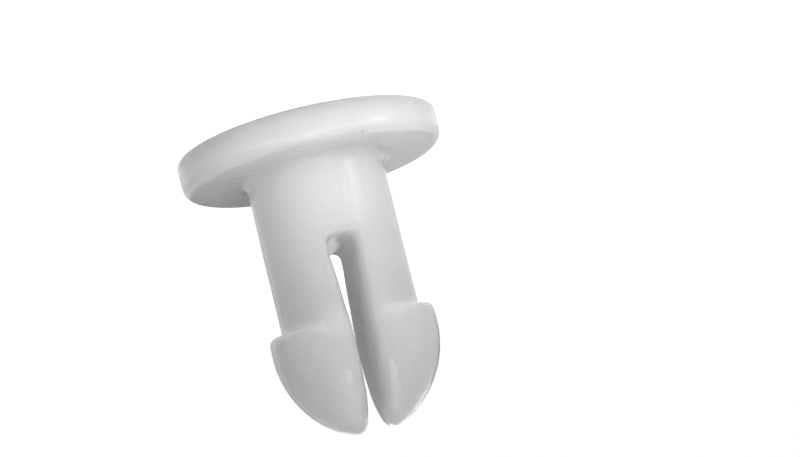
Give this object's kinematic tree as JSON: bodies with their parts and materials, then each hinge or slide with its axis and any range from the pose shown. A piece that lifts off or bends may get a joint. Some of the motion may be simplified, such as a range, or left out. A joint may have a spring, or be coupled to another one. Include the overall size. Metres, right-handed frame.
{
  "type": "push-in fastener",
  "caption": "Moulded push-in fastener with a flat round head, a plain shank and a split snap nose that locks behind a panel hole.",
  "frame": {"origin": "centre of the seat, the underside of the head, on the shank's axis", "axes": "+Z along the shank from the seat to the tips; the slot parts the legs along X and runs through along Y; the part stands on the outer face of its head"},
  "size_m": [0.0119, 0.0118, 0.0136],
  "materials": {
    "nylon": "white nylon, satin as moulded"
  },
  "bodies": {
    "root": {"push_in_fastener": "nylon"}
  },
  "joints": []
}
